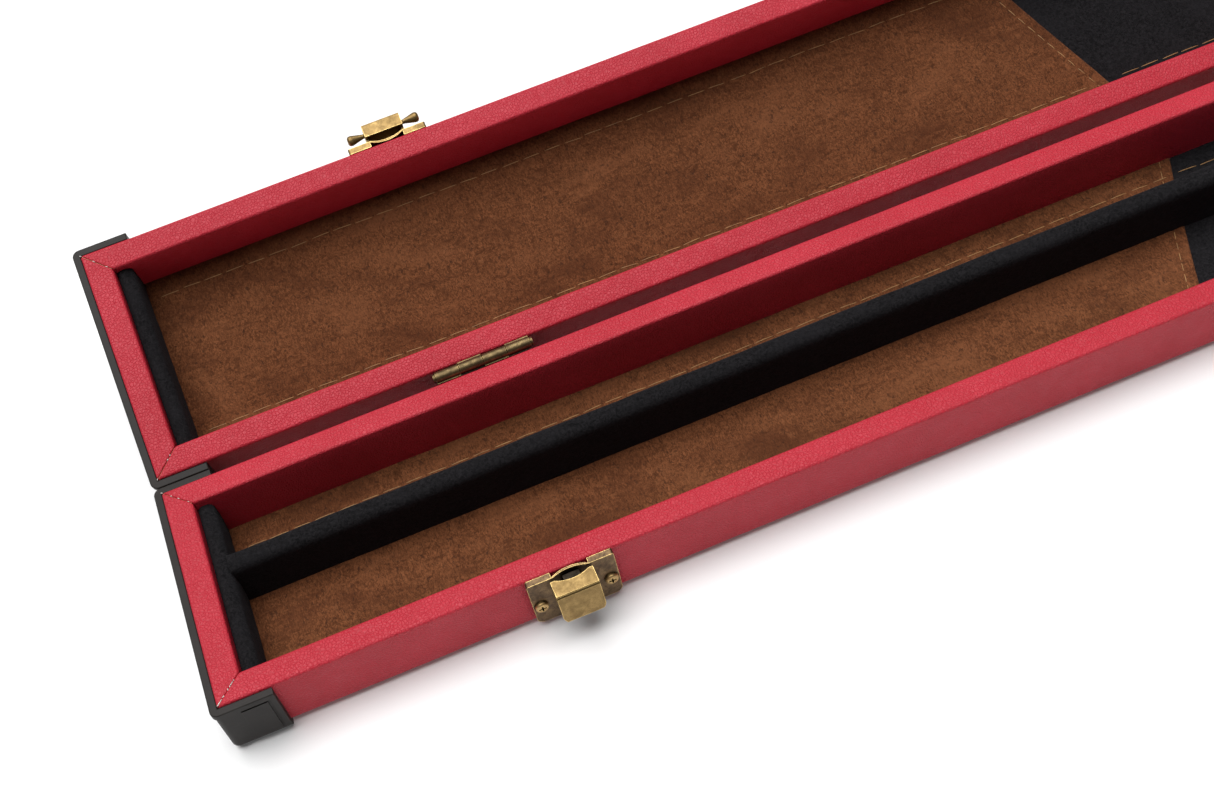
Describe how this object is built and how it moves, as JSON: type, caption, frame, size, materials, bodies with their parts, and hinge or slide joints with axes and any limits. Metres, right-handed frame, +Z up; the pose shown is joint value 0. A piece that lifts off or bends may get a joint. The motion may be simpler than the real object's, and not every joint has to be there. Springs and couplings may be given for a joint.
{
  "type": "cue case",
  "caption": "Long hard case for billiard cues, lying open, with a divided base, lined halves, end caps, box latches and a carrying handle.",
  "frame": {"origin": "centre of the opened case's footprint, on the surface that it lies on", "axes": "+X along the case, +Y from the front wall with the latches to the hinges and the lid, +Z up"},
  "size_m": [1.2412, 0.2478, 0.0665],
  "materials": {
    "red_leather": "fine pebble grain faux leather, satin",
    "wood": "raw, hidden under the leather",
    "brown_suede": "short-napped faux suede",
    "black_cloth": "matt black woven-backed velour",
    "black_plastic": "moulded, satin",
    "handle_plastic": "moulded, satin",
    "antique_brass": "pressed, darkened and relieved"
  },
  "bodies": {
    "base": {"base_panel": "wood", "base_front_rail": "wood", "base_back_rail": "wood", "base_left_rail": "wood", "base_right_rail": "wood", "base_cover": "red_leather", "base_lining_left": "brown_suede", "base_lining_middle": "black_cloth", "base_lining_right": "brown_suede", "base_left_pad": "black_cloth", "base_right_pad": "black_cloth", "base_left_cap": "black_plastic", "base_right_cap": "black_plastic", "base_hinge_left": "antique_brass", "base_hinge_middle": "antique_brass", "base_hinge_right": "antique_brass", "base_hinge_screws": "antique_brass", "divider_core": "wood", "divider_cover": "black_cloth", "hinge_pin_left": "antique_brass", "hinge_pin_middle": "antique_brass", "hinge_pin_right": "antique_brass", "latch_plate_left": "antique_brass", "latch_plate_right": "antique_brass", "lever_pin_left": "antique_brass", "lever_pin_right": "antique_brass", "latch_screws": "antique_brass", "handle_bracket_left": "antique_brass", "handle_bracket_right": "antique_brass", "handle_pins": "antique_brass", "handle_screws": "antique_brass"},
    "lid": {"lid_panel": "wood", "lid_front_rail": "wood", "lid_back_rail": "wood", "lid_left_rail": "wood", "lid_right_rail": "wood", "lid_cover": "red_leather", "lid_lining_left": "brown_suede", "lid_lining_middle": "black_cloth", "lid_lining_right": "brown_suede", "lid_left_pad": "black_cloth", "lid_right_pad": "black_cloth", "lid_left_cap": "black_plastic", "lid_right_cap": "black_plastic", "lid_hinge_left": "antique_brass", "lid_hinge_middle": "antique_brass", "lid_hinge_right": "antique_brass", "lid_hinge_screws": "antique_brass", "keeper_left": "antique_brass", "keeper_right": "antique_brass", "keeper_pin_left": "antique_brass", "keeper_pin_right": "antique_brass", "keeper_screws": "antique_brass"},
    "lever_left": {"latch_lever_left": "antique_brass"},
    "lever_right": {"latch_lever_right": "antique_brass"},
    "hook_left": {"latch_hook_left": "antique_brass"},
    "hook_right": {"latch_hook_right": "antique_brass"},
    "handle": {"handle_grip": "handle_plastic"}
  },
  "joints": [
    {"name": "lid_hinge", "type": "hinge", "parent": "base", "child": "lid", "pos_m": [0, 0.01669, 0.0274], "axis": [1, 0, 0], "range_deg": [0, 158.5]},
    {"name": "lever_left_pivot", "type": "hinge", "parent": "base", "child": "lever_left", "pos_m": [-0.4916, -0.08861, 0.0147], "axis": [1, 0, 0], "range_deg": [0, 100]},
    {"name": "lever_right_pivot", "type": "hinge", "parent": "base", "child": "lever_right", "pos_m": [0.4916, -0.08861, 0.0147], "axis": [1, 0, 0], "range_deg": [0, 100]},
    {"name": "hook_left_slide", "type": "slide", "parent": "base", "child": "hook_left", "axis": [0, 0, 1], "range_m": [0, 0.006]},
    {"name": "hook_right_slide", "type": "slide", "parent": "base", "child": "hook_right", "axis": [0, 0, 1], "range_m": [0, 0.006]},
    {"name": "handle_swing", "type": "hinge", "parent": "base", "child": "handle", "pos_m": [0, -0.08811, 0.0142], "axis": [-1, 0, 0], "range_deg": [0, 100]}
  ]
}
